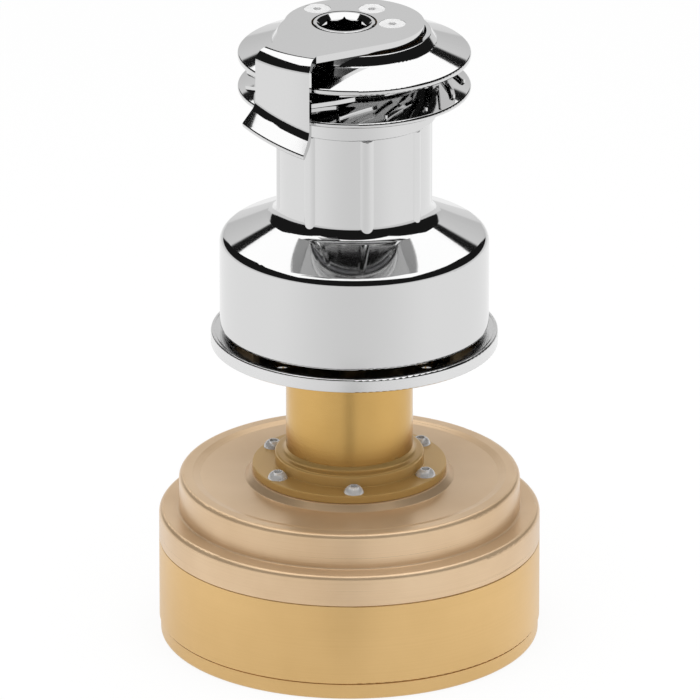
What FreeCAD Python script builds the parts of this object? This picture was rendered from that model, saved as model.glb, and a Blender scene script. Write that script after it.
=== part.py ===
import FreeCAD, Part
import math
import os

# Electric sailboat winch, millimetres, +Z up. The origin is the middle of the drive unit's flat bottom.
# Three upright axes stand close together: the drive unit and its tube, the drum, and the spindle.

Vec = FreeCAD.Vector
up = Vec(0, 0, 1)

# Upright axes
body_x = 0.0
drum_x = 2.5
spindle_x = -2.6

# Fits
running_gap = 0.05
seat_gap = 0.1
free_gap = 0.5
sink = 0.5

# Drive unit castings
housing_radius = 97.2
bottom_cover_inset = 0.7
bottom_cover_radius = housing_radius - bottom_cover_inset
bottom_cover_height = 8.4
bottom_edge_round = 2.5
seam_width = 0.6
seam_depth = 1.0
housing_height = 42.4
housing_wall = 12.2
housing_bore = housing_radius - housing_wall
cap_band_height = 16.1
cap_ledge = 10.2
cap_step_radius = housing_radius - cap_ledge
cap_step_height = 18.5
cap_edge_round = 2.6
cap_lip = 7.0
cap_dish_radius = cap_step_radius - cap_lip
cap_dish_depth = 1.0
boss_radius = 53.4
boss_top_radius = 50.5
boss_height = 2.2

# Stand tube
tube_radius = 32.3
tube_wall = 5.3
tube_length = 69.6
tube_flange_radius = 49.5
tube_flange_height = 4.1
collar_radius = 38.0
collar_height = 6.4
collar_fillet = 2.5

# Deck flange
deck_flange_radius = 73.0
deck_flange_height = 7.1
deck_bolt_circle = 124.0
deck_bolt_count = 5
deck_bolt_bore = 3.3
deck_bolt_head = 6.3

# Drum
skirt_gap = 2.7
skirt_radius = 68.4
skirt_wall = 4.0
skirt_height = 48.0
shoulder_round = 5.0
dome_rise = 13.4
flare_round = 9.0
neck_radius = 39.0
neck_height = 52.0
neck_rib_count = 8
neck_rib_proud = 0.9
neck_rib_round = 6.0
neck_rib_turn = -80.5
neck_wall = 8.0
crown_step = 1.5
crown_radius = neck_radius - crown_step
crown_height = 28.0
crown_bore = neck_radius - neck_wall - 1.0

# Self-tailing jaws
jaw_radius = 59.0
jaw_rim = 2.7
jaw_slope = 0.364
jaw_hub_margin = 2.7
jaw_hub_radius = neck_radius + jaw_hub_margin
lower_jaw_rim_lift = 13.2
jaw_rim_gap = 15.1
jaw_rib_count = 15
jaw_rib_width = 2.0
jaw_rib_height = 1.8
jaw_travel = 4.0
jaw_hub_rise = 4.8

# Stem and roller bearings
roller_radius = 2.5
stem_radius = neck_radius - neck_wall - 2 * roller_radius
stem_flange_radius = 46.0
stem_flange_height = 6.0
roller_length = 16.0
roller_count = 12
pillar_radius = 7.0
pillar_circle = 36.0

# Feeder arm
hub_wall = 2.3
hub_taper = 3.0
hub_clearance = 1.0
plate_radius = jaw_hub_radius - hub_taper - hub_wall - hub_clearance
plate_height = 3.7
plate_lift = 0.6
arm_angle = -125.6
arm_reach = 64.0
arm_left = -17.0
arm_right = 16.5
arm_slant = 9.5
arm_thickness = 3.0
arm_bend = 7.0
arm_root = 54.0
arm_drop = 50.0
arm_lip = 8.5
arm_lip_height = 11.0
arm_lip_round = 7.0
arm_sections = 9
blade_lift = 7.5
blade_thickness = 2.2
blade_clearance = 2.8
plate_screw_circle = 24.3
plate_screw_angles = (-5.0, 55.0, 124.0)
plate_screw_head = 6.7
plate_screw_grip = 7.3

# Spindle and its handle socket
spindle_head_radius = 15.75
spindle_radius = 13.5
stem_bore = spindle_head_radius + 0.55
socket_square = 17.5
socket_depth = 24.0

# Winch gears
gear_module = 2.0
gear_width = 10.0
ring_teeth = 50
idler_pinion_teeth = 12
idler_gear_teeth = 22
spindle_pinion_teeth = 16
backlash = 0.3
pressure_angle = math.radians(25)

# Planetary gears of the drive unit
planet_module = 1.5
planet_width = 10.0
sun_teeth = 24
planet_teeth = 24
planet_count = 3
planet_pin_radius = 5.0

# Motor
stator_radius = housing_bore - 2.6
stator_height = 26.0
stator_poles = 12
stator_bore = 41.6
rotor_radius = 36.5
magnet_height = 4.2
magnet_count = 10
shaft_radius = 8.0

# Heights of the seats, from the bottom up
z_seam = bottom_cover_height
z_housing = z_seam + seam_width
z_cap = z_housing + housing_height
z_step = z_cap + cap_band_height
z_boss = z_step + cap_step_height
z_tube = z_boss + boss_height
z_deck = z_tube + tube_length
z_stem = z_deck + deck_flange_height
z_skirt = z_stem + skirt_gap
z_shoulder = z_skirt + skirt_height
z_flare = z_shoulder + dome_rise
z_neck_top = z_flare + neck_height
z_crown_top = z_neck_top + crown_height
z_lower_rim = z_neck_top + lower_jaw_rim_lift
z_upper_rim = z_lower_rim + jaw_rim + jaw_rim_gap
z_jaw_top = z_upper_rim + jaw_rim + jaw_slope * (jaw_radius - jaw_hub_radius)
z_hub_top = z_jaw_top + jaw_hub_rise
z_plate = z_hub_top + plate_lift
z_plate_top = z_plate + plate_height
z_arm_middle = z_plate_top - arm_drop / 2

# Gear levels and the idler's place, behind the spindle and the drum axis
z_idler_gear = z_stem + 4.0
z_ring_gear = z_idler_gear + gear_width + 2.0
z_ledge = z_ring_gear + gear_width
z_stem_flange = z_ledge + 7.0
ring_to_idler = gear_module * (ring_teeth - idler_pinion_teeth) / 2
spindle_to_idler = gear_module * (idler_gear_teeth + spindle_pinion_teeth) / 2
axis_gap = drum_x - spindle_x
idler_along = (spindle_to_idler ** 2 - ring_to_idler ** 2 + axis_gap ** 2) / (2 * axis_gap)
idler_x = spindle_x + idler_along
idler_y = math.sqrt(spindle_to_idler ** 2 - idler_along ** 2)
idler_pin_radius = 5.0


def corner_path(corners, place):
    """One closed wire through corners (a, b, round), each round a tangent arc."""
    spots = [Vec(a, b, 0) for a, b, _ in corners]
    edges = []
    ends = []
    for index, (_, _, radius) in enumerate(corners):
        here = spots[index]
        before = (spots[index - 1] - here).normalize()
        after = (spots[(index + 1) % len(spots)] - here).normalize()
        if radius == 0:
            ends.append((here, None, here))
            continue
        half = before.getAngle(after) / 2
        reach = radius / math.tan(half)
        middle = (before + after).normalize() * (radius / math.sin(half) - radius)
        ends.append((here + before * reach, here + middle, here + after * reach))
    for index, (start, middle, end) in enumerate(ends):
        if middle is not None:
            edges.append(Part.Arc(place(start), place(middle), place(end)).toShape())
        following = ends[(index + 1) % len(ends)][0]
        if (following - end).Length > 1e-6:
            edges.append(Part.LineSegment(place(end), place(following)).toShape())
    return Part.Wire(edges)


def turned(corners, axis_x, axis_y=0.0):
    """A solid turned about an upright axis, from corners (radius, height, round)."""
    wire = corner_path(corners, lambda p: Vec(axis_x + p.x, axis_y, p.y))
    return Part.Face(wire).revolve(Vec(axis_x, axis_y, 0), up, 360)


def ring(axis_x, inner, outer, low, high, axis_y=0.0, rounding=0.0):
    return turned(
        [(inner, low, 0), (outer, low, rounding), (outer, high, rounding), (inner, high, 0)],
        axis_x, axis_y,
    )


def rod(x, y, radius, low, high):
    return Part.makeCylinder(radius, high - low, Vec(x, y, low))


def prism(corners, low, high):
    wire = corner_path(corners, lambda p: Vec(p.x, p.y, low))
    return Part.Face(wire).extrude(Vec(0, 0, high - low))


def around(axis_x, distance, degrees, axis_y=0.0):
    angle = math.radians(degrees)
    return axis_x + distance * math.cos(angle), axis_y + distance * math.sin(angle)


def turned_copy(shape, axis_x, degrees, axis_y=0.0):
    copy = shape.copy()
    copy.rotate(Vec(axis_x, axis_y, 0), up, degrees)
    return copy


def hexagon(x, y, across, low, high, turn=0.0):
    reach = across / math.sqrt(3)
    corners = [(*around(x, reach, turn + 60 * k, y), 0) for k in range(6)]
    return prism(corners, low, high)


def flat_screw(x, y, top, shank, head, length):
    """A countersunk hexagon-socket screw whose head is flush with the face at top."""
    cone = Part.makeCone(shank, head, head - shank, Vec(x, y, top - head + shank))
    body = rod(x, y, shank, top - length, top - head + shank + sink)
    return cone.fuse(body).cut(hexagon(x, y, shank * 1.3, top - shank * 0.9, top + sink))


def flat_screw_hole(x, y, top, shank, head, length):
    clear = seat_gap
    cone = Part.makeCone(shank + clear, head + clear, head - shank, Vec(x, y, top - head + shank))
    mouth = rod(x, y, head + clear, top, top + sink)
    return cone.fuse(rod(x, y, shank + clear, top - length - sink, top)).fuse(mouth)


def flipped(shape, z):
    return shape.mirror(Vec(0, 0, z), up)


def involute(angle):
    return math.tan(angle) - angle


def tooth_outline(teeth, module, low, high, play):
    """Half-angles of one involute tooth from its low radius to its high one."""
    pitch = teeth * module / 2
    base = pitch * math.cos(pressure_angle)
    half = (math.pi * module / 4 - play / 2) / pitch + involute(pressure_angle)
    steps = 5
    points = []
    for step in range(steps + 1):
        radius = low + (high - low) * step / steps
        lean = involute(math.acos(min(1.0, base / radius)))
        points.append((radius, half - lean))
    return points


def toothed_disc(teeth, module, depth_in, depth_out, play, low, high, x, y, phase):
    """A disc with involute teeth, one of them centred on phase (degrees)."""
    pitch = teeth * module / 2
    flank = tooth_outline(teeth, module, pitch - depth_in * module, pitch + depth_out * module, play)
    spots = []
    for k in range(teeth):
        centre = math.radians(phase) + 2 * math.pi * k / teeth
        turns = [(r, centre - a) for r, a in flank] + [(r, centre + a) for r, a in reversed(flank)]
        spots += [Vec(x + r * math.cos(t), y + r * math.sin(t), low) for r, t in turns]
    return Part.Face(Part.makePolygon(spots + spots[:1])).extrude(Vec(0, 0, high - low))


def gear(teeth, module, low, high, x, y, phase):
    return toothed_disc(teeth, module, 1.0, 0.7, backlash / 2, low, high, x, y, phase)


def ring_gear_space(teeth, module, low, high, x, phase):
    """The hollow inside a ring gear, one of its tooth spaces centred on phase."""
    return toothed_disc(teeth, module, 0.6, 1.0, -backlash / 2, low, high, x, 0, phase)


def bearing(axis_x, bore, outside, low, high):
    """Inner race, outer race and balls of a deep-groove ball bearing."""
    middle = (bore + outside) / 2
    height = (low + high) / 2
    ball = (outside - bore) * 0.24
    groove = Part.makeTorus(middle, ball + running_gap, Vec(axis_x, 0, height), up)
    wall = (outside - bore) * 0.33
    inner = ring(axis_x, bore, bore + wall, low, high).cut(groove)
    outer = ring(axis_x, outside - wall, outside, low, high).cut(groove)
    count = int(2 * math.pi * middle / (ball * 2.6))
    balls = []
    for k in range(count):
        x, y = around(axis_x, middle, 360 * k / count)
        balls.append(Part.makeSphere(ball, Vec(x, y, height)))
    return inner, outer, Part.makeCompound(balls)


# Drive unit: three castings, motor and planetary gears, all inside centred on the spindle axis

bearing_bore = shaft_radius
bearing_outside = 19.0
z_lower_bearing = 3.4
bearing_height = 7.0
plate_thickness = 7.0
z_bearing_plate = z_cap - plate_thickness
z_upper_bearing = z_bearing_plate
z_planets = z_cap + 3.0
planet_circle = planet_module * (sun_teeth + planet_teeth) / 2
planet_ring_teeth = sun_teeth + 2 * planet_teeth
planet_ring_outside = planet_module * planet_ring_teeth / 2 + 11.0
z_carrier = z_planets + planet_width + 1.5
carrier_height = 6.0
carrier_radius = planet_circle + 9.0
output_radius = 11.0
output_bearing_outside = 24.0
z_output_bearing = z_carrier + carrier_height + 1.0
z_seal = z_boss - 5.0
seal_radius = 18.0
z_rotor = z_housing + 6.0
housing_bolt_inset = 5.45
housing_bolt_circle = 2 * (housing_radius - housing_bolt_inset)
housing_bolt_count = 8
housing_bolt_radius = 2.5
housing_bolt_head = 3.6
gland_height = 30.0
gland_bore = 4.5
gland_radius = 11.0
gland_thread = 8.0
tube_bolt_circle = 87.0
tube_bolt_count = 6
tube_bolt_radius = 3.0
tube_bolt_head = 5.25
tube_bolt_turn = -87.0


def housing_bolt_places():
    for k in range(housing_bolt_count):
        yield around(body_x, housing_bolt_circle / 2, 22.5 + 360 * k / housing_bolt_count)


def tube_bolt_places():
    for k in range(tube_bolt_count):
        yield around(body_x, tube_bolt_circle / 2, tube_bolt_turn + 360 * k / tube_bolt_count)


def bottom_cover():
    edge = bottom_cover_radius
    cover = turned([(0, 0, 0), (edge, 0, bottom_edge_round), (edge, z_seam, 0), (0, z_seam, 0)], body_x)
    cover = cover.fuse(ring(spindle_x, 0, housing_bore - seat_gap, z_seam - sink, z_housing + 2.0))
    cover = cover.fuse(ring(body_x, housing_bore - 5, edge - seam_depth, z_seam - sink, z_housing))
    cover = cover.cut(ring(spindle_x, 0, bearing_outside, z_lower_bearing, z_housing + 3))
    for x, y in housing_bolt_places():
        cover = cover.cut(rod(x, y, housing_bolt_radius + seat_gap, -sink, z_housing + sink))
        cover = cover.cut(rod(x, y, housing_bolt_head, -sink, housing_bolt_radius * 2 + 0.4))
    return cover


def motor_housing():
    shell = turned(
        [(0, z_housing, 0), (housing_radius, z_housing, 0.6), (housing_radius, z_cap, 0.5), (0, z_cap, 0)],
        body_x,
    )
    shell = shell.cut(ring(spindle_x, 0, housing_bore, z_housing - sink, z_cap + sink))
    seat = ring(spindle_x, stator_radius + seat_gap, housing_bore + sink, z_rotor, z_rotor + stator_height)
    shell = shell.fuse(seat)
    for x, y in housing_bolt_places():
        shell = shell.cut(rod(x, y, housing_bolt_radius + seat_gap, z_housing - sink, z_cap + sink))
    inside = Vec(body_x, housing_bore - 10, gland_height)
    entry = Part.makeCylinder(gland_thread, housing_wall + 20, inside, Vec(0, 1, 0))
    return shell.cut(entry)


def gearbox_cap():
    cap = turned(
        [
            (0, z_cap, 0), (housing_radius, z_cap, 0.5), (housing_radius, z_step, cap_edge_round),
            (cap_step_radius, z_step, 0.8), (cap_step_radius, z_boss, cap_edge_round),
            (cap_dish_radius, z_boss, 1.0), (cap_dish_radius - 4, z_boss - cap_dish_depth, 1.0),
            (boss_radius, z_boss - cap_dish_depth, 0.5), (boss_top_radius, z_tube, 0.6), (0, z_tube, 0),
        ],
        body_x,
    )
    cap = cap.cut(ring(spindle_x, 0, planet_ring_outside + seat_gap, z_cap - sink, z_carrier))
    cap = cap.cut(ring(spindle_x, 0, carrier_radius + 3, z_carrier - sink, z_output_bearing))
    cap = cap.cut(ring(spindle_x, 0, output_bearing_outside, z_output_bearing - sink, z_output_bearing + 7))
    cap = cap.cut(ring(spindle_x, 0, seal_radius, z_seal, z_tube + sink))
    cap = cap.cut(ring(spindle_x, 0, output_radius + free_gap, z_output_bearing, z_tube))
    for x, y in housing_bolt_places():
        cap = cap.cut(rod(x, y, housing_bolt_radius + seat_gap, z_cap - sink, z_cap + 12))
    for x, y in tube_bolt_places():
        cap = cap.cut(rod(x, y, tube_bolt_radius + seat_gap, z_tube - 12, z_tube + sink))
    return cap


def housing_bolts():
    head = housing_bolt_head - seat_gap
    screws = []
    for x, y in housing_bolt_places():
        screw = rod(x, y, head, 0.4, housing_bolt_radius * 2 + 0.4)
        screw = screw.fuse(rod(x, y, housing_bolt_radius, housing_bolt_radius * 2, z_cap + 11))
        screws.append(screw.cut(hexagon(x, y, housing_bolt_radius * 1.6, 0, 3)))
    return Part.makeCompound(screws)


def cable_gland():
    ahead = Vec(0, 1, 0)
    face = housing_radius + seat_gap
    start = Vec(body_x, face, gland_height)
    body = Part.makeCylinder(gland_thread - seat_gap, 12, Vec(body_x, face - 12, gland_height), ahead)
    collar = Part.makeCylinder(gland_radius, 3, start, ahead)
    nut = hexagon(0, 0, 2 * gland_radius - 2, 0, 10)
    nut.rotate(Vec(0, 0, 0), Vec(1, 0, 0), -90)
    nut.translate(Vec(body_x, face + 3, gland_height))
    dome = Part.makeCone(gland_radius - 2, gland_radius - 5, 6, Vec(body_x, face + 13, gland_height), ahead)
    gland = body.fuse([collar, nut, dome])
    return gland.cut(Part.makeCylinder(gland_bore, 40, Vec(body_x, face - 14, gland_height), ahead))


def stator_core():
    core = ring(spindle_x, stator_radius - 12, stator_radius, z_rotor, z_rotor + stator_height)
    for k in range(stator_poles):
        pole = Part.makeBox(stator_radius - 6 - stator_bore, 10, stator_height)
        pole.translate(Vec(spindle_x + stator_bore, -5, z_rotor))
        core = core.fuse(turned_copy(pole, spindle_x, 360 * k / stator_poles))
    return core.cut(rod(spindle_x, 0, stator_bore, z_rotor - sink, z_rotor + stator_height + sink))


def stator_windings():
    coils = []
    low, high = z_rotor - 3, z_rotor + stator_height + 3
    for k in range(stator_poles):
        coil = Part.makeBox(20, 18, high - low, Vec(spindle_x + stator_bore + 8, -9, low))
        hollow = Part.makeBox(24, 10 + 2 * seat_gap, stator_height + 2 * seat_gap)
        hollow.translate(Vec(spindle_x + stator_bore + 6, -5 - seat_gap, z_rotor - seat_gap))
        coil = coil.makeFillet(2.0, [e for e in coil.Edges if abs(e.tangentAt(0).x) > 0.9])
        coils.append(turned_copy(coil.cut(hollow), spindle_x, 360 * k / stator_poles))
    return Part.makeCompound(coils)


def bearing_plate():
    plate = ring(spindle_x, bearing_outside, housing_bore - seat_gap, z_bearing_plate, z_cap)
    return plate


def motor_shaft():
    shaft = rod(spindle_x, 0, bearing_bore, z_lower_bearing + 0.6, z_planets + planet_width)
    return shaft


def sun_gear():
    disc = gear(sun_teeth, planet_module, z_planets, z_planets + planet_width, spindle_x, 0, 0)
    return disc.cut(rod(spindle_x, 0, bearing_bore, z_planets - sink, z_planets + planet_width + sink))


def rotor_core():
    low = z_rotor
    return ring(spindle_x, bearing_bore, rotor_radius, low, low + stator_height)


def rotor_magnets():
    whole = ring(spindle_x, rotor_radius, rotor_radius + magnet_height, z_rotor, z_rotor + stator_height)
    for k in range(magnet_count):
        gap = Part.makeBox(rotor_radius + 10, 2, stator_height + 2, Vec(spindle_x, -1, z_rotor - 1))
        whole = whole.cut(turned_copy(gap, spindle_x, 360 * k / magnet_count))
    return whole


def planet_ring_gear():
    low, high = z_planets - 1.0, z_carrier - seat_gap
    body = rod(spindle_x, 0, planet_ring_outside, z_cap, high)
    phase = 180 / planet_ring_teeth
    body = body.cut(ring_gear_space(planet_ring_teeth, planet_module, low - 3, high + sink, spindle_x, phase))
    return body


def planet_gear(index):
    heading = 360 * index / planet_count
    x, y = around(spindle_x, planet_circle, heading)
    phase = heading + 180 + 180 / planet_teeth
    disc = gear(planet_teeth, planet_module, z_planets, z_planets + planet_width, x, y, phase)
    bore = rod(x, y, planet_pin_radius + running_gap, z_planets - sink, z_planets + planet_width + sink)
    return disc.cut(bore)


def planet_pins():
    pins = []
    for k in range(planet_count):
        x, y = around(spindle_x, planet_circle, 360 * k / planet_count)
        pin = rod(x, y, planet_pin_radius, z_planets - 0.6, z_carrier + 4)
        pins.append(pin.fuse(rod(x, y, planet_pin_radius + 1.2, z_planets - 1.4, z_planets - 0.4)))
    return Part.makeCompound(pins)


def planet_carrier():
    carrier = rod(spindle_x, 0, carrier_radius, z_carrier, z_carrier + carrier_height)
    carrier = carrier.fuse(rod(spindle_x, 0, output_radius, z_carrier, z_tube + 8))
    for k in range(planet_count):
        x, y = around(spindle_x, planet_circle, 360 * k / planet_count)
        carrier = carrier.cut(rod(x, y, planet_pin_radius, z_carrier - sink, z_carrier + 4))
    return carrier


def shaft_seal():
    return ring(spindle_x, output_radius + running_gap, seal_radius, z_seal, z_tube - 0.5)


def motor_bearings():
    top = z_lower_bearing + bearing_height
    lower = bearing(spindle_x, bearing_bore, bearing_outside, z_lower_bearing, top)
    upper = bearing(spindle_x, bearing_bore, bearing_outside, z_upper_bearing, z_cap)
    return lower, upper


def output_bearing():
    low = z_output_bearing
    return bearing(spindle_x, output_radius, output_bearing_outside, low, low + 7)


def stand_tube():
    tube = ring(body_x, tube_radius - tube_wall, tube_radius, z_tube, z_deck)
    for x, y in tube_top_places():
        tube = tube.cut(rod(x, y, 1.9, z_deck - 14, z_deck + sink))
    return tube


def tube_flange():
    inner = tube_radius + 0.02
    top = z_tube + tube_flange_height
    flange = turned(
        [
            (inner, z_tube, 0), (tube_flange_radius, z_tube, 0.4), (tube_flange_radius, top, 0.5),
            (collar_radius, top, 0.4), (collar_radius, top + collar_height, 1.2),
            (tube_radius + 1.5, top + collar_height + 0.4, collar_fillet),
            (inner, top + collar_height + 2.8, 0),
        ],
        body_x,
    )
    for x, y in tube_bolt_places():
        flange = flange.cut(rod(x, y, tube_bolt_radius + seat_gap, z_tube - sink, z_tube + 20))
    return flange


def stand_tube_screws():
    top = z_tube + tube_flange_height
    screws = []
    for x, y in tube_bolt_places():
        head = Part.makeSphere(tube_bolt_head, Vec(x, y, top - 1.2))
        head = head.common(rod(x, y, tube_bolt_head, top, top + 3.3))
        screw = head.fuse(rod(x, y, tube_bolt_radius, top - 14, top + sink))
        screws.append(screw.cut(hexagon(x, y, 4, top + 1, top + 4)))
    return Part.makeCompound(screws)


# Winch: deck flange, stem, gears, drum, jaws, feeder arm and spindle

pillar_turns = (-150.0, -90.0, -30.0)
tube_top_circle = 59.2
roller_clearance = 0.05
z_stem_top = z_crown_top + 7.0
stem_head_radius = plate_radius - 1.4
stem_head_skirt = 2.5
washer_height = 2.0
z_land = z_stem_flange + stem_flange_height + washer_height
z_lower_rollers = z_land + 6.0
z_upper_rollers = z_neck_top - roller_length - 3.0
roller_outer = stem_radius + 2 * roller_radius
bush_length = 24.0
z_spindle_foot = z_stem + 1.0
z_spindle_head = z_crown_top - 8.0
stem_neck_bore = spindle_radius + 2.4
coupling_radius = 18.0
coupling_bore = output_radius


def tube_top_places():
    for k in range(4):
        yield around(body_x, tube_top_circle / 2, 45 + 90 * k)


def deck_bolt_places():
    for k in range(deck_bolt_count):
        yield around(drum_x, deck_bolt_circle / 2, 90 + 360 * k / deck_bolt_count)


def pillar_places():
    for turn in pillar_turns:
        yield around(drum_x, pillar_circle, turn)


def deck_flange():
    groove = ring(drum_x, deck_flange_radius - 2.2, deck_flange_radius - 1.6, z_stem - 0.4, z_stem + sink)
    flange = turned(
        [
            (0, z_deck, 0), (deck_flange_radius, z_deck, 0.6), (deck_flange_radius, z_stem, 1.0),
            (0, z_stem, 0),
        ],
        drum_x,
    ).cut(groove)
    flange = flange.cut(rod(spindle_x, 0, coupling_radius + 2, z_deck - sink, z_stem + sink))
    flange = flange.cut(rod(idler_x, idler_y, idler_pin_radius, z_stem - 4, z_stem + sink))
    for x, y in deck_bolt_places():
        flange = flange.cut(rod(x, y, deck_bolt_bore, z_deck - sink, z_stem + sink))
        cone = Part.makeCone(deck_bolt_bore, deck_bolt_head, deck_bolt_head - deck_bolt_bore)
        cone.translate(Vec(x, y, z_stem - deck_bolt_head + deck_bolt_bore))
        flange = flange.cut(cone)
    for x, y in tube_top_places():
        flange = flange.cut(flat_screw_hole(x, y, z_stem, 1.8, 3.4, deck_flange_height))
    for x, y in pillar_places():
        flange = flange.cut(flipped(flat_screw_hole(x, y, z_deck, 2.5, 5.0, 8), z_deck))
    return flange


def tube_top_screws():
    return Part.makeCompound([flat_screw(x, y, z_stem - 0.1, 1.8, 3.4, 18) for x, y in tube_top_places()])


def stem():
    low, high = z_stem_flange, z_stem_flange + stem_flange_height
    body = turned(
        [
            (0, low, 0), (stem_flange_radius, low, 0.8), (stem_flange_radius, high, 0.8),
            (stem_radius, high, 0), (stem_radius, z_stem_top, 0), (0, z_stem_top, 0),
        ],
        drum_x,
    )
    for x, y in pillar_places():
        body = body.fuse(rod(x, y, pillar_radius, z_stem, low + sink))
    body = body.cut(rod(spindle_x, 0, stem_bore, low - sink, z_stem_top + sink))
    body = body.cut(rod(idler_x, idler_y, idler_pin_radius + running_gap, low - sink, high + sink))
    for x, y in pillar_places():
        body = body.cut(rod(x, y, 2.6, z_stem - sink, z_stem + 14))
    return body


def stem_screws():
    screws = [flipped(flat_screw(x, y, z_deck - 0.1, 2.5, 4.9, 18), z_deck) for x, y in pillar_places()]
    return Part.makeCompound(screws)


def thrust_washer():
    return ring(drum_x, stem_radius + 1, roller_outer + 8, z_land - washer_height, z_land)


def stem_head():
    low = z_stem_top - stem_head_skirt
    head = ring(drum_x, 0, stem_head_radius, low, z_plate)
    head = head.cut(rod(drum_x, 0, stem_radius + seat_gap, low - sink, z_stem_top))
    head = head.cut(rod(spindle_x, 0, stem_bore, low, z_plate + sink))
    for x, y in plate_screw_places():
        head = head.cut(rod(x, y, 3.1, z_stem_top - 2, z_plate + sink))
    return head


def rollers(low):
    pieces = []
    middle = stem_radius + roller_radius
    for k in range(roller_count):
        x, y = around(drum_x, middle, 360 * k / roller_count)
        pieces.append(rod(x, y, roller_radius - roller_clearance, low, low + roller_length))
    return Part.makeCompound(pieces)


def roller_cage(low):
    middle = stem_radius + roller_radius
    cage = ring(drum_x, middle - 1.2, middle + 1.2, low - 1.8, low + roller_length + 1.8)
    for k in range(roller_count):
        x, y = around(drum_x, middle, 360 * k / roller_count)
        cage = cage.cut(rod(x, y, roller_radius + seat_gap, low - seat_gap, low + roller_length + seat_gap))
    return cage


def spindle_bush(low):
    return ring(spindle_x, spindle_radius + running_gap, stem_bore - 0.01, low, low + bush_length)


def idler_pin():
    low = z_stem - 4 + seat_gap
    pin = rod(idler_x, idler_y, idler_pin_radius - running_gap, low, z_stem_flange + stem_flange_height - 0.2)
    return pin


def direction(x, y):
    return math.degrees(math.atan2(y, x))


def idler_gear():
    phase = direction(idler_x - spindle_x, idler_y) + 180 + 180 / idler_gear_teeth
    high = z_idler_gear + gear_width
    disc = gear(idler_gear_teeth, gear_module, z_idler_gear, high, idler_x, idler_y, phase)
    return disc.cut(rod(idler_x, idler_y, idler_pin_radius + 2, z_idler_gear - sink, high + sink))


def idler_pinion():
    phase = direction(idler_x - drum_x, idler_y)
    teeth = gear(idler_pinion_teeth, gear_module, z_ring_gear, z_ledge + 2, idler_x, idler_y, phase)
    hub = rod(idler_x, idler_y, idler_pin_radius + 2, z_stem + 0.6, z_stem_flange - 0.6)
    bore = rod(idler_x, idler_y, idler_pin_radius + running_gap, z_stem, z_stem_flange)
    return teeth.fuse(hub).cut(bore)


def drum_ring_gear():
    outside = gear_module * ring_teeth / 2 + 13
    body = rod(drum_x, 0, outside, z_ring_gear, z_ledge)
    phase = direction(idler_x - drum_x, idler_y)
    body = body.cut(
        ring_gear_space(ring_teeth, gear_module, z_ring_gear - sink, z_ledge + sink, drum_x, phase)
    )
    for x, y in ring_gear_screw_places():
        body = body.cut(flipped(flat_screw_hole(x, y, z_ring_gear, 1.8, 3.4, gear_width), z_ring_gear))
    return body


def ring_gear_screw_places():
    for k in range(4):
        yield around(drum_x, gear_module * ring_teeth / 2 + 7.5, 45 + 90 * k)


def ring_gear_screws():
    screws = []
    for x, y in ring_gear_screw_places():
        screws.append(flipped(flat_screw(x, y, z_ring_gear - 0.1, 1.8, 3.4, gear_width + 4), z_ring_gear))
    return Part.makeCompound(screws)


def drum():
    inside = skirt_radius - skirt_wall
    z_race_end = z_lower_rollers + roller_length + 2
    ledge = gear_module * ring_teeth / 2 + 3.5
    z_web = z_land + 0.6
    outline = [
        (inside, z_skirt, 0.8), (skirt_radius, z_skirt, 1.6), (skirt_radius, z_shoulder, shoulder_round),
        (neck_radius, z_flare, flare_round), (neck_radius, z_neck_top, 0.6),
        (crown_radius, z_neck_top, 0.3), (crown_radius, z_crown_top, 0),
        (crown_bore, z_crown_top, 0), (crown_bore, z_neck_top - 2, 0),
        (roller_outer, z_neck_top - 2, 0), (roller_outer, z_upper_rollers - 2, 0),
        (roller_outer + 2, z_upper_rollers - 2, 0), (roller_outer + 2, z_race_end, 0),
        (roller_outer, z_race_end, 0), (roller_outer, z_land, 0),
        (roller_outer + 9, z_land, 0), (roller_outer + 9, z_web, 0), (inside - 4, z_web, 3),
        (inside - 4, z_ledge + 6, 0), (ledge, z_ledge + 6, 0), (ledge, z_ledge, 0), (inside, z_ledge, 0),
    ]
    body = turned(outline, drum_x)
    low, high = z_shoulder, z_neck_top - 0.4
    crest = neck_radius + neck_rib_proud
    layer = turned(
        [
            (neck_radius - 2, low, 0), (crest, low, 0), (crest, high - 1, 0.6),
            (neck_radius, high, 0), (neck_radius - 2, high, 0),
        ],
        drum_x,
    )
    bars = []
    for k in range(neck_rib_count):
        turn = neck_rib_turn + 360 * k / neck_rib_count
        x, y = around(drum_x, neck_radius + neck_rib_proud - neck_rib_round, turn)
        bars.append(rod(x, y, neck_rib_round, low, high))
    body = body.fuse(layer.common(Part.makeCompound(bars)))
    for x, y in ring_gear_screw_places():
        body = body.cut(rod(x, y, 1.9, z_ledge - sink, z_ledge + 5.9))
    for x, y in upper_jaw_screw_places():
        body = body.cut(rod(x, y, 1.6, z_crown_top - 9, z_crown_top + sink))
    return body


def upper_jaw_screw_places():
    for k in range(4):
        yield around(drum_x, (crown_radius + crown_bore) / 2, 45 + 90 * k)


def upper_jaw_screws():
    top = z_crown_top + 4 - 0.1
    return Part.makeCompound([flat_screw(x, y, top, 1.5, 2.8, 11) for x, y in upper_jaw_screw_places()])


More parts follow.
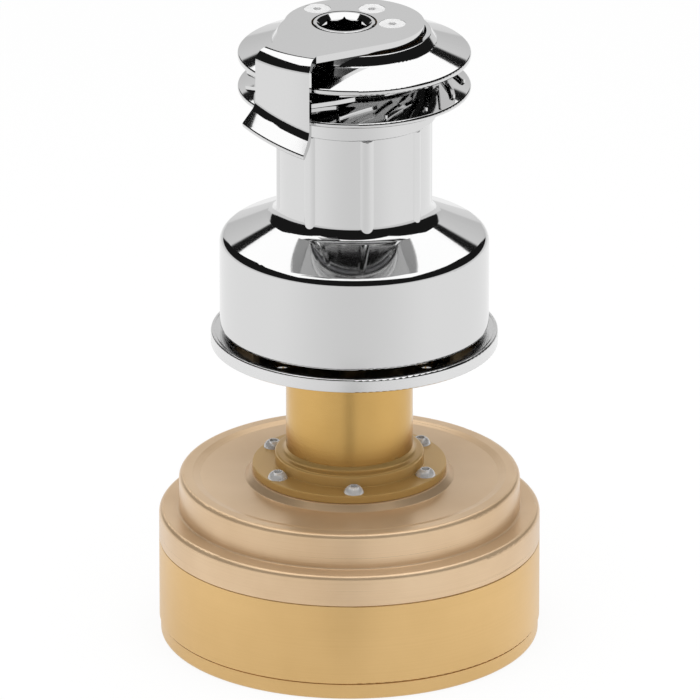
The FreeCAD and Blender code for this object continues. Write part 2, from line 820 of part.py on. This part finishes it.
def jaw_ribs(face_height, height, lower):
    """Slanted ribs standing on a cone whose height at radius r is face_height(r)."""
    inner, outer = jaw_hub_radius + 3, jaw_radius - 2
    sunk, proud = (-0.6, height) if lower else (0.6, -height)
    layer = turned(
        [
            (inner, face_height(inner) + sunk, 0), (outer, face_height(outer) + sunk, 0),
            (outer - 1, face_height(outer - 1) + proud, 0), (inner + 1, face_height(inner + 1) + proud, 0),
        ],
        drum_x,
    )
    bars = []
    for k in range(jaw_rib_count):
        turn = 360 * k / jaw_rib_count
        start = Vec(*around(drum_x, outer - 1.5, turn - 2), 0)
        end = Vec(*around(drum_x, inner + 2.5, turn + 20), 0)
        along = (end - start).normalize()
        side = Vec(-along.y, along.x, 0) * (jaw_rib_width / 2)
        corners = [start - side, end - side, end + side, start + side]
        bar = prism([(p.x, p.y, 0.9) for p in corners], z_neck_top, z_plate)
        bars.append(bar)
    return layer.common(Part.makeCompound(bars))


def lower_jaw():
    rim_top = z_lower_rim + jaw_rim
    neck_room = neck_radius + neck_rib_proud + 0.3
    hub_face = rim_top + jaw_slope * (jaw_radius - jaw_hub_radius)
    jaw = turned(
        [
            (neck_room, z_neck_top + 0.2, 0), (jaw_hub_radius, z_neck_top + 0.2, 0.6),
            (jaw_hub_radius, hub_face - 3.4, 2.0), (jaw_radius, z_lower_rim - 0.2, 1.1),
            (jaw_radius, rim_top, 1.1), (jaw_hub_radius - 2, hub_face + 0.7, 0.5),
            (crown_radius + free_gap, hub_face, 0), (crown_radius + free_gap, z_neck_top + 7, 0),
            (neck_room, z_neck_top + 7, 0),
        ],
        drum_x,
    )
    ribs = jaw_ribs(lambda r: rim_top + jaw_slope * (jaw_radius - r), jaw_rib_height, True)
    return jaw.fuse(ribs)


def jaw_wave_spring():
    return ring(drum_x, crown_radius + 0.6, neck_radius + 0.8, z_neck_top + 0.1, z_neck_top + 6.9)


def upper_jaw():
    low = z_upper_rim
    hub = jaw_hub_radius - hub_taper
    slope_in = 0.24
    under = low - slope_in * (jaw_radius - jaw_hub_radius)
    jaw = turned(
        [
            (crown_bore - 0.5, z_crown_top, 0), (crown_radius + 1.5, z_crown_top, 0.6),
            (crown_radius + 2.5, under, 0), (jaw_radius, low, 1.1), (jaw_radius, low + jaw_rim, 1.1),
            (jaw_hub_radius, z_jaw_top, 1.2), (hub, z_hub_top, 0.8), (hub - hub_wall, z_hub_top, 0),
            (hub - hub_wall, z_crown_top + 4, 0), (crown_bore - 0.5, z_crown_top + 4, 0),
        ],
        drum_x,
    )
    ribs = jaw_ribs(lambda r: low - slope_in * (jaw_radius - r), 1.0, False)
    jaw = jaw.fuse(ribs)
    for x, y in upper_jaw_screw_places():
        jaw = jaw.cut(flat_screw_hole(x, y, z_crown_top + 4, 1.5, 2.8, 5))
    return jaw


def plate_screw_places():
    for turn in plate_screw_angles:
        yield around(spindle_x, plate_screw_circle, turn)


def on_arm(shape):
    """Moves a shape drawn along +X of the drum axis to the arm's own heading."""
    shape.translate(Vec(drum_x, 0, 0))
    shape.rotate(Vec(drum_x, 0, 0), up, arm_angle)
    return shape


def tangent_point(x, y, side):
    distance = math.hypot(x, y)
    angle = math.atan2(y, x) + side * math.acos(plate_radius / distance)
    return plate_radius * math.cos(angle), plate_radius * math.sin(angle)


def arm_bend_section():
    """The upper half of the arm's outline: the bend from the plate into the upright wall."""
    inner = arm_reach - arm_thickness
    corners = [
        (arm_root, z_plate, 0), (arm_root, z_plate_top, 0), (arm_reach, z_plate_top, arm_bend),
        (arm_reach, z_arm_middle, 0), (inner, z_arm_middle, 0), (inner, z_plate, arm_bend - arm_thickness),
    ]
    return corner_path(corners, lambda p: Vec(p.x, 0, p.y))


def arm_lip_section(foot):
    """The lower half of the arm's outline: the wall and a lip curled outward down to foot."""
    inner = arm_reach - arm_thickness
    end = arm_reach + arm_lip
    corners = [
        (inner, z_arm_middle, 0), (arm_reach, z_arm_middle, 0),
        (arm_reach, foot + arm_lip_height, arm_lip_round),
        (end, foot + arm_thickness, 1.2), (end - 0.6, foot, 1.2),
        (inner, foot + arm_lip_height - 4.5, arm_lip_round + 2),
    ]
    return corner_path(corners, lambda p: Vec(p.x, 0, p.y))


def feeder_arm():
    left = math.degrees(math.asin(arm_left / arm_reach))
    right = math.degrees(math.asin(arm_right / arm_reach))
    bend = Part.Face(arm_bend_section())
    bend.rotate(Vec(0, 0, 0), up, left)
    bend = bend.revolve(Vec(0, 0, 0), up, right - left)
    sections = []
    for step in range(arm_sections):
        share = step / (arm_sections - 1)
        section = arm_lip_section(z_plate_top - arm_drop + arm_slant * (1 - share))
        section.rotate(Vec(0, 0, 0), up, left + (right - left) * share)
        sections.append(section)
    lip = Part.makeLoft(sections, True)
    corner_left = Vec(arm_root * math.cos(math.radians(left)), arm_root * math.sin(math.radians(left)), 0)
    corner_right = Vec(arm_root * math.cos(math.radians(right)), arm_root * math.sin(math.radians(right)), 0)
    left_x, left_y = tangent_point(corner_left.x, corner_left.y, -1)
    right_x, right_y = tangent_point(corner_right.x, corner_right.y, 1)
    reach = arm_root + 6
    tail = prism(
        [
            (corner_left.x, corner_left.y, 0), (reach, arm_left / 2, 0), (reach, arm_right / 2, 0),
            (corner_right.x, corner_right.y, 0), (right_x, right_y, 0), (left_x, left_y, 0),
        ],
        z_plate, z_plate_top,
    )
    tail = tail.common(rod(0, 0, arm_root, z_plate, z_plate_top))
    top = rod(0, 0, plate_radius, z_plate, z_plate_top)
    arm = on_arm(top.fuse([tail, bend, lip]).removeSplitter())
    arm = arm.cut(rod(spindle_x, 0, spindle_head_radius + 0.9, z_plate - sink, z_plate_top + sink))
    for x, y in plate_screw_places():
        arm = arm.cut(flat_screw_hole(x, y, z_plate_top, 3.0, plate_screw_head, 14))
    return arm


def feeder_arm_screws():
    top = z_plate_top - seat_gap
    length = plate_height + plate_screw_grip
    screws = [flat_screw(x, y, top, 3.0, plate_screw_head, length) for x, y in plate_screw_places()]
    return Part.makeCompound(screws)


def stripper_blade():
    inner = arm_reach - arm_thickness
    level = z_lower_rim + jaw_rim + blade_lift
    edge = jaw_hub_radius + blade_clearance
    corners = [
        (inner + 2, -4, 0), (inner + 2, 12, 0), (*around(0, edge + 7.4, 25), 8),
        (*around(0, edge, 39.5), 0.8), (*around(0, edge, 29), 6), (*around(0, edge, 7.7), 8),
    ]
    blade = prism(corners, level, level + blade_thickness)
    return on_arm(blade.common(rod(0, 0, inner - 0.02, level, level + blade_thickness)))


def eight_point_star(low, high):
    half = socket_square / 2
    square = Part.makeBox(socket_square, socket_square, high - low, Vec(spindle_x - half, -half, low))
    return square.fuse(turned_copy(square, spindle_x, 45))


def spindle():
    top = z_plate_top + 0.2
    body = turned(
        [
            (0, z_deck - 10, 0), (10, z_deck - 10, 0.6), (10, z_stem_flange - 1, 0),
            (spindle_radius, z_stem_flange - 1, 0.4), (spindle_radius, z_spindle_head, 0),
            (spindle_head_radius, z_spindle_head, 0.4), (spindle_head_radius, top, 0.6), (0, top, 0),
        ],
        spindle_x,
    )
    body = body.cut(eight_point_star(top - socket_depth, top + sink))
    chamfer = 2.6
    mouth = Part.makeCone(11.4, 11.4 + chamfer, chamfer, Vec(spindle_x, 0, top - chamfer))
    return body.cut(mouth)


def spindle_pinion():
    high = z_idler_gear + gear_width
    heading = direction(idler_x - spindle_x, idler_y)
    teeth = gear(spindle_pinion_teeth, gear_module, z_idler_gear, high, spindle_x, 0, heading)
    return teeth.cut(rod(spindle_x, 0, 10, z_idler_gear - sink, high + sink))


def drive_coupling():
    low = z_tube + 0.8
    body = ring(spindle_x, 0, coupling_radius, low, z_deck + 4, 0, 1.0)
    body = body.cut(rod(spindle_x, 0, output_radius, low - sink, z_tube + 8))
    return body.cut(rod(spindle_x, 0, 10, z_deck - 10, z_deck + 4 + sink))


def main():
    lower_bearing, upper_bearing = motor_bearings()
    output_inner, output_outer, output_balls = output_bearing()
    group = Part.makeCompound
    nodes = {
        "bottom_cover": bottom_cover(),
        "motor_housing": motor_housing(),
        "gearbox_cap": gearbox_cap(),
        "housing_bolts": housing_bolts(),
        "cable_gland": cable_gland(),
        "stator_core": stator_core(),
        "stator_windings": stator_windings(),
        "bearing_plate": bearing_plate(),
        "bearing_outer_races": group([lower_bearing[1], upper_bearing[1], output_outer]),
        "motor_inner_races": group([lower_bearing[0], upper_bearing[0]]),
        "motor_bearing_balls": group([lower_bearing[2], upper_bearing[2]]),
        "motor_shaft": motor_shaft(),
        "rotor_core": rotor_core(),
        "rotor_magnets": rotor_magnets(),
        "sun_gear": sun_gear(),
        "planet_ring_gear": planet_ring_gear(),
        "planet_pins": planet_pins(),
        "planet_carrier": planet_carrier(),
        "output_inner_race": output_inner,
        "output_bearing_balls": output_balls,
        "shaft_seal": shaft_seal(),
        "stand_tube": stand_tube(),
        "tube_flange": tube_flange(),
        "stand_tube_screws": stand_tube_screws(),
        "tube_top_screws": tube_top_screws(),
        "deck_flange": deck_flange(),
        "stem": stem(),
        "stem_screws": stem_screws(),
        "thrust_washer": thrust_washer(),
        "stem_head": stem_head(),
        "lower_rollers": rollers(z_lower_rollers),
        "lower_roller_cage": roller_cage(z_lower_rollers),
        "upper_rollers": rollers(z_upper_rollers),
        "upper_roller_cage": roller_cage(z_upper_rollers),
        "spindle_bush_lower": spindle_bush(z_stem_flange + 2),
        "spindle_bush_upper": spindle_bush(z_spindle_head - bush_length - 6),
        "idler_pin": idler_pin(),
        "idler_gear": idler_gear(),
        "idler_pinion": idler_pinion(),
        "drum_ring_gear": drum_ring_gear(),
        "ring_gear_screws": ring_gear_screws(),
        "drum": drum(),
        "lower_jaw": lower_jaw(),
        "jaw_wave_spring": jaw_wave_spring(),
        "upper_jaw": upper_jaw(),
        "upper_jaw_screws": upper_jaw_screws(),
        "feeder_arm": feeder_arm(),
        "feeder_arm_screws": feeder_arm_screws(),
        "stripper_blade": stripper_blade(),
        "spindle": spindle(),
        "spindle_pinion": spindle_pinion(),
        "drive_coupling": drive_coupling(),
    }
    for index in range(planet_count):
        nodes[f"planet_gear_{index + 1}"] = planet_gear(index)
    os.makedirs("parts", exist_ok=True)
    for name, shape in nodes.items():
        shape.exportStep(f"parts/{name}.step")
        print(f"{name:22s} solids {len(shape.Solids):3d} volume {shape.Volume:10.1f} valid {shape.isValid()}")


main()
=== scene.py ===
import bpy
import math
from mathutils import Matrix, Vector

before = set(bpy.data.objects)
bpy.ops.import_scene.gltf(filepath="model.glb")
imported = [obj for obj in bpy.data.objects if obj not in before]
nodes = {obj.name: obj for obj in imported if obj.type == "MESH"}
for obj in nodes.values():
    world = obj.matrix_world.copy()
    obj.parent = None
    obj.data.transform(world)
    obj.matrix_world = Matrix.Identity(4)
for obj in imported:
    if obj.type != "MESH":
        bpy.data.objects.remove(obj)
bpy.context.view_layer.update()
print("frame loaded with", len(nodes), "nodes")


class Sock:
    # a socket or a number that adds Math nodes as it is used in an expression
    def __init__(self, tree, value):
        self.tree = tree
        self.value = value

    def mathNode(self, operation, *others):
        node = self.tree.nodes.new("ShaderNodeMath")
        node.operation = operation
        for place, item in enumerate((self, *others)):
            feed(self.tree, item, node.inputs[place])
        return Sock(self.tree, node.outputs[0])

    def __add__(self, other):
        return self.mathNode("ADD", other)

    def __radd__(self, other):
        return self.mathNode("ADD", other)

    def __sub__(self, other):
        return self.mathNode("SUBTRACT", other)

    def __rsub__(self, other):
        return Sock(self.tree, other).mathNode("SUBTRACT", self)

    def __mul__(self, other):
        return self.mathNode("MULTIPLY", other)

    def __rmul__(self, other):
        return self.mathNode("MULTIPLY", other)

    def __truediv__(self, other):
        return self.mathNode("DIVIDE", other)

    def __rtruediv__(self, other):
        return Sock(self.tree, other).mathNode("DIVIDE", self)


def feed(tree, item, target):
    value = item.value if isinstance(item, Sock) else item
    if isinstance(value, bpy.types.NodeSocket):
        tree.links.new(value, target)
    else:
        target.default_value = value


class Shader:
    # one material and its node tree
    def __init__(self, name):
        self.material = bpy.data.materials.new(name)
        self.material.use_nodes = True
        self.tree = self.material.node_tree
        self.bsdf = self.tree.nodes["Principled BSDF"]
        self.output = self.tree.nodes["Material Output"]

    def node(self, kind, settings=None, inputs=None, output=0):
        made = self.tree.nodes.new(kind)
        for key, value in (settings or {}).items():
            if key == "stops":
                setStops(made.color_ramp, value)
            else:
                setattr(made, key, value)
        for key, value in (inputs or {}).items():
            feed(self.tree, value, made.inputs[key])
        return Sock(self.tree, made.outputs[output])

    def surface(self, **values):
        for key, value in values.items():
            feed(self.tree, value, self.bsdf.inputs[key.replace("_", " ")])
        return self.material

    def spot(self):
        return self.node("ShaderNodeTexCoord", output="Object")

    def coordinates(self):
        # X, Y and Z in metres
        spot = self.spot()
        return [self.node("ShaderNodeSeparateXYZ", inputs={0: spot}, output=k) for k in range(3)]

    def noise(self, scale, detail=3.0, stretch=(1, 1, 1)):
        place = self.node("ShaderNodeMapping", inputs={"Vector": self.spot(), "Scale": stretch})
        return self.node("ShaderNodeTexNoise", inputs={"Vector": place, "Scale": scale, "Detail": detail})

    def ramp(self, value, *stops):
        return self.node("ShaderNodeValToRGB", {"stops": stops}, {"Fac": value})

    def bump(self, height, strength, distance):
        return self.node("ShaderNodeBump", inputs={
            "Height": height, "Strength": strength, "Distance": distance})

    def smoothStep(self, value, low, high):
        # 0 up to low and 1 from high on, or the other way round when low is the larger
        return self.node("ShaderNodeMapRange", {"interpolation_type": "SMOOTHSTEP"}, {
            "Value": value, "From Min": low, "From Max": high})

    def glowing(self, strength):
        glow = self.node("ShaderNodeEmission", inputs={"Strength": strength})
        feed(self.tree, glow, self.output.inputs["Surface"])


def setStops(colorRamp, stops):
    while len(colorRamp.elements) < len(stops):
        colorRamp.elements.new(1.0)
    for element, (place, colour) in zip(colorRamp.elements, stops):
        element.position = place
        element.color = (*colour, 1)


dressed = set()


def dress(material, names):
    for name in names:
        dressed.add(name)
        slots = nodes[name].data.materials
        slots.clear()
        slots.append(material)


mirrorSteel = {"colour": (0.70, 0.70, 0.70), "roughness": 0.045, "haze": 0.03, "hazeScale": 60.0,
               "hazeDetail": 4.0}
satinSteel = {**mirrorSteel, "colour": (0.76, 0.76, 0.76), "roughness": 0.16}


def polishedSteel(name, values):
    # bright steel with a faint uneven haze
    shader = Shader(name)
    rough = shader.noise(values["hazeScale"], values["hazeDetail"]) * values["haze"] + values["roughness"]
    return shader.surface(Base_Color=(*values["colour"], 1), Metallic=1.0, Roughness=rough)


bodyBronze = {
    "light": (0.80, 0.53, 0.23), "dark": (0.72, 0.465, 0.19), "roughness": 0.33, "metallic": 0.75,
    "markScale": 9.0, "markDetail": 3.0, "markStretch": (0.4, 0.4, 320.0), "markSpread": 0.12,
    "markBump": 0.08, "markDepth": 0.0004, "patchScale": 14.0, "patchDetail": 4.0, "patchShare": 0.75,
    "darkUpTo": 0.35, "lightFrom": 0.65,
}
capBronze = {**bodyBronze, "light": (0.80, 0.59, 0.38), "dark": (0.66, 0.46, 0.27),
             "roughness": 0.30, "metallic": 0.6}
tubeBronze = {**bodyBronze, "light": (0.72, 0.46, 0.16), "dark": (0.60, 0.365, 0.11),
              "roughness": 0.22, "metallic": 0.9}
flangeBronze = {**bodyBronze, "light": (0.70, 0.45, 0.16), "dark": (0.58, 0.36, 0.12),
                "roughness": 0.30, "metallic": 0.45}


def bronze(name, values):
    # turned bronze: rings of fine tool marks and slow patches of tone
    shader = Shader(name)
    marks = shader.noise(values["markScale"], values["markDetail"], values["markStretch"])
    patches = shader.noise(values["patchScale"], values["patchDetail"])
    mixed = patches * values["patchShare"] + marks * (1 - values["patchShare"])
    tone = shader.ramp(mixed, (values["darkUpTo"], values["dark"]), (values["lightFrom"], values["light"]))
    rough = marks * values["markSpread"] + values["roughness"] - values["markSpread"] / 2
    dent = shader.bump(marks, values["markBump"], values["markDepth"])
    return shader.surface(Base_Color=tone, Metallic=values["metallic"], Roughness=rough, Normal=dent)


metalGrain = {"scale": 220.0, "darkShare": 0.88, "darkUpTo": 0.3, "lightFrom": 0.7, "spread": 0.12}


def plainMetal(name, colour, roughness, metallic=1.0, values=metalGrain):
    shader = Shader(name)
    grain = shader.noise(values["scale"])
    darker = tuple(values["darkShare"] * part for part in colour)
    tone = shader.ramp(grain, (values["darkUpTo"], darker), (values["lightFrom"], colour))
    rough = grain * values["spread"] + roughness
    return shader.surface(Base_Color=tone, Metallic=metallic, Roughness=rough)


layerMarks = {"bump": 0.4, "depth": 0.0004, "spread": 0.12}


def layered(name, colour, roughness, layersPerMetre, values=layerMarks):
    # stacked sheets or turns of wire, as fine rings up the piece
    shader = Shader(name)
    waveScale = layersPerMetre * math.pi / 10  # a wave of scale 1 repeats every pi / 10 metres
    rings = shader.node("ShaderNodeTexWave", {"bands_direction": "Z"}, {
        "Vector": shader.spot(), "Scale": waveScale})
    dent = shader.bump(rings, values["bump"], values["depth"])
    rough = rings * values["spread"] + roughness
    return shader.surface(Base_Color=(*colour, 1), Metallic=1.0, Roughness=rough, Normal=dent)


mouldedGrain = {"scale": 400.0, "bump": 0.15, "depth": 0.0003, "spread": 0.15}


def plainSolid(name, colour, roughness, values=mouldedGrain):
    # moulded rubber or polymer with a fine grain
    shader = Shader(name)
    grain = shader.noise(values["scale"])
    dent = shader.bump(grain, values["bump"], values["depth"])
    rough = grain * values["spread"] + roughness
    return shader.surface(Base_Color=(*colour, 1), Roughness=rough, Normal=dent)


dress(polishedSteel("polishedSteel", mirrorSteel), [
    "drum", "upper_jaw", "lower_jaw", "feeder_arm", "spindle", "stripper_blade"])
dress(polishedSteel("satinSteel", satinSteel), ["deck_flange"])
dress(bronze("bodyBronze", bodyBronze), ["motor_housing", "bottom_cover"])
dress(bronze("capBronze", capBronze), ["gearbox_cap"])
dress(bronze("tubeBronze", tubeBronze), ["stand_tube"])
dress(bronze("flangeBronze", flangeBronze), ["tube_flange"])
print("castings and polished pieces finished")

dress(plainMetal("screwSteel", (0.82, 0.82, 0.82), 0.20, 0.4), [
    "stand_tube_screws", "feeder_arm_screws", "housing_bolts", "tube_top_screws", "stem_screws",
    "ring_gear_screws", "upper_jaw_screws"])
dress(plainMetal("gearBronze", (0.70, 0.50, 0.26), 0.35), [
    "drum_ring_gear", "stem_head", "stem", "thrust_washer", "spindle_bush_lower", "spindle_bush_upper"])
dress(plainMetal("gearSteel", (0.50, 0.50, 0.52), 0.32), [
    "idler_pin", "idler_gear", "idler_pinion", "spindle_pinion", "sun_gear", "planet_gear_1",
    "planet_gear_2", "planet_gear_3", "planet_ring_gear", "planet_pins", "planet_carrier",
    "drive_coupling", "motor_shaft", "jaw_wave_spring"])
dress(plainMetal("bearingSteel", (0.72, 0.72, 0.74), 0.12), [
    "motor_inner_races", "bearing_outer_races", "output_inner_race", "motor_bearing_balls",
    "output_bearing_balls", "lower_rollers", "upper_rollers"])
dress(plainMetal("nickelMagnet", (0.55, 0.53, 0.50), 0.24), ["rotor_magnets"])
dress(plainMetal("turnedAluminium", (0.78, 0.78, 0.80), 0.34), ["bearing_plate"])
dress(layered("laminatedSteel", (0.36, 0.36, 0.38), 0.38, 2000.0), ["stator_core", "rotor_core"])
dress(layered("windingCopper", (0.72, 0.30, 0.13), 0.30, 1000.0), ["stator_windings"])
dress(plainSolid("cagePolymer", (0.62, 0.56, 0.42), 0.42), ["lower_roller_cage", "upper_roller_cage"])
dress(plainSolid("glandPolymer", (0.02, 0.02, 0.02), 0.5), ["cable_gland"])
dress(plainSolid("sealRubber", (0.018, 0.018, 0.018), 0.6), ["shaft_seal"])
print("finish given to", len(dressed), "of", len(nodes), "nodes")

sceneLight = {"seen": 1.0, "soft": 0.7}


def buildWorld(values=sceneLight):
    # white where the camera, metal or glass looks at it, softer as light on the object
    world = bpy.data.worlds.new("studio")
    bpy.context.scene.world = world
    world.use_nodes = True
    tree = world.node_tree
    back = tree.nodes["Background"]
    path = tree.nodes.new("ShaderNodeLightPath")
    seen = Sock(tree, path.outputs["Is Camera Ray"])
    for ray in ("Is Glossy Ray", "Is Transmission Ray"):
        seen = seen.mathNode("MAXIMUM", Sock(tree, path.outputs[ray]))
    strength = seen * (values["seen"] - values["soft"]) + values["soft"]
    feed(tree, (1, 1, 1, 1), back.inputs["Color"])
    feed(tree, strength, back.inputs["Strength"])


def meshPiece(name, verts, faces):
    mesh = bpy.data.meshes.new(name)
    mesh.from_pydata(verts, [], faces)
    made = bpy.data.objects.new(name, mesh)
    bpy.context.scene.collection.objects.link(made)
    return made


def levelPanel(name, left, right, front, back, height):
    verts = [(left, front, height), (right, front, height), (right, back, height), (left, back, height)]
    return meshPiece(name, verts, [(0, 1, 2, 3)])


paleFloor = {
    "half": 12.0, "shade": 0.88, "roughness": 0.9, "cameraGlow": 0.9, "glossLevel": 0.98,
    "bandDepth": 0.16, "bandWidth": 0.75, "bandStart": 0.12,
    "stripeDepth": 0.36, "stripeWidth": 0.16, "stripeStart": 0.01,
    "stripeRise": (0.08, 0.34), "stripeFade": (0.52, 0.44),
}


def fadeAside(across, forward, start, width):
    # 1 straight ahead of the object and less to either side, wider further off
    lean = across / (forward + start) / width
    return (lean * lean * -1).mathNode("EXPONENT")


def buildFloor(values=paleFloor):
    # metal sees the floor as nearly white, with a soft band and a thin stripe ahead of the object
    half = values["half"]
    floor = levelPanel("floor", -half, half, -half, half, 0)
    shader = Shader("paleFloor")
    shader.surface(Base_Color=(*(values["shade"],) * 3, 1), Roughness=values["roughness"])
    across, ahead, _ = shader.coordinates()
    forward = (ahead * -1).mathNode("MAXIMUM", 0.0)
    band = fadeAside(across, forward, values["bandStart"], values["bandWidth"])
    stripe = fadeAside(across, forward, values["stripeStart"], values["stripeWidth"])
    stripe = stripe * shader.smoothStep(forward, *values["stripeFade"])
    stripe = stripe * shader.smoothStep(forward, *values["stripeRise"])
    level = values["glossLevel"] - band * values["bandDepth"] - stripe * values["stripeDepth"]
    cameraRay = shader.node("ShaderNodeLightPath", output="Is Camera Ray")
    glossyRay = shader.node("ShaderNodeLightPath", output="Is Glossy Ray")
    glow = shader.node("ShaderNodeEmission", inputs={"Strength": cameraRay + (1 - cameraRay) * level})
    lit = Sock(shader.tree, shader.bsdf.outputs[0])
    mixed = shader.node("ShaderNodeMixShader", inputs={
        0: cameraRay * values["cameraGlow"] + glossyRay, 1: lit, 2: glow})
    feed(shader.tree, mixed, shader.output.inputs["Surface"])
    floor.data.materials.append(shader.material)


studioTent = {
    "radius": 2.2, "height": 2.7, "steps": 96, "floorGap": 0.003, "black": 0.012, "edge": 0.05,
    "panelHalf": 1.0, "panelTop": 1.30, "panelLow": 0.52, "panelRise": 0.26,
    "footTop": 0.42, "footGlow": 0.78,
}


def tentMesh(radius, height, steps, floorGap):
    # an upright wall with a flat lid, whose middle is the first vertex
    verts = [(0, 0, height)]
    for step in range(steps):
        turn = 2 * math.pi * step / steps
        for lift in (floorGap, height):
            verts.append((radius * math.cos(turn), radius * math.sin(turn), lift))
    faces = []
    for step in range(steps):
        low = 1 + 2 * step
        nextLow = 1 + 2 * ((step + 1) % steps)
        faces += [(low, nextLow, nextLow + 1, low + 1), (low + 1, nextLow + 1, 0)]
    return meshPiece("tent", verts, faces)


def buildTent(values=studioTent):
    # the dark room round the object, with a pale foot and a grey panel behind it
    tent = tentMesh(values["radius"], values["height"], values["steps"], values["floorGap"])
    shader = Shader("tentCloth")
    across, ahead, lift = shader.coordinates()
    edge = values["edge"]

    def within(distance, limit):
        return shader.smoothStep(distance, limit + edge, limit - edge)

    beside = within(across.mathNode("ABSOLUTE"), values["panelHalf"])
    below = within(lift, values["panelTop"])
    behind = ahead.mathNode("GREATER_THAN", 0.0)
    grey = lift / values["panelTop"] * values["panelRise"] + values["panelLow"]
    foot = within(lift, values["footTop"])
    shader.glowing(beside * below * behind * grey * (1 - foot) + foot * values["footGlow"] + values["black"])
    tent.data.materials.append(shader.material)
    onlyInMetal(tent)


overheadSheet = {"left": -0.9, "right": 0.9, "front": -0.46, "back": 1.70, "height": 1.45}
overheadGlow = 1.4


def buildOverheadSheet():
    # the lit sheet over the object that the polished faces show as white
    sheet = levelPanel("overheadSheet", **overheadSheet)
    shader = Shader("sheetCloth")
    shader.glowing(overheadGlow)
    sheet.data.materials.append(shader.material)
    onlyInMetal(sheet)


def onlyInMetal(thing):
    # shows in reflections alone and casts no shadow
    thing.visible_camera = False
    thing.visible_diffuse = False
    thing.visible_shadow = False


overheadLamp = {"spot": (0.0, -0.25, 1.7), "aim": (0, 0, 0.18), "size": 1.6, "power": 22}


def softLamp(name, values):
    lamp = bpy.data.lights.new(name, "AREA")
    lamp.size = values["size"]
    lamp.energy = values["power"]
    made = bpy.data.objects.new(name, lamp)
    made.location = values["spot"]
    aim = Vector(values["aim"]) - Vector(values["spot"])
    made.rotation_euler = aim.to_track_quat("-Z", "Y").to_euler()
    bpy.context.scene.collection.objects.link(made)
    made.visible_camera = False
    made.visible_glossy = False


cameraView = {"elevation": 21.3, "distance": 7.3, "width": 0.356, "aim": (0.0003, 0, 0.1527),
              "near": 0.1, "far": 100}


def buildCamera(values=cameraView):
    # a long lens from a little above, worked out from the turned rims
    camera = bpy.data.cameras.new("camera")
    made = bpy.data.objects.new("camera", camera)
    lift = math.radians(values["elevation"])
    back = Vector((0, -math.cos(lift), math.sin(lift)))
    made.location = Vector(values["aim"]) + back * values["distance"]
    made.rotation_euler = (-back).to_track_quat("-Z", "Y").to_euler()
    camera.lens = camera.sensor_width * values["distance"] / values["width"]
    camera.clip_start = values["near"]
    camera.clip_end = values["far"]
    bpy.context.scene.collection.objects.link(made)
    bpy.context.scene.camera = made


buildWorld()
buildFloor()
buildTent()
buildOverheadSheet()
softLamp("overhead", overheadLamp)
buildCamera()
bpy.context.scene.view_settings.view_transform = "Standard"
print("studio ready")
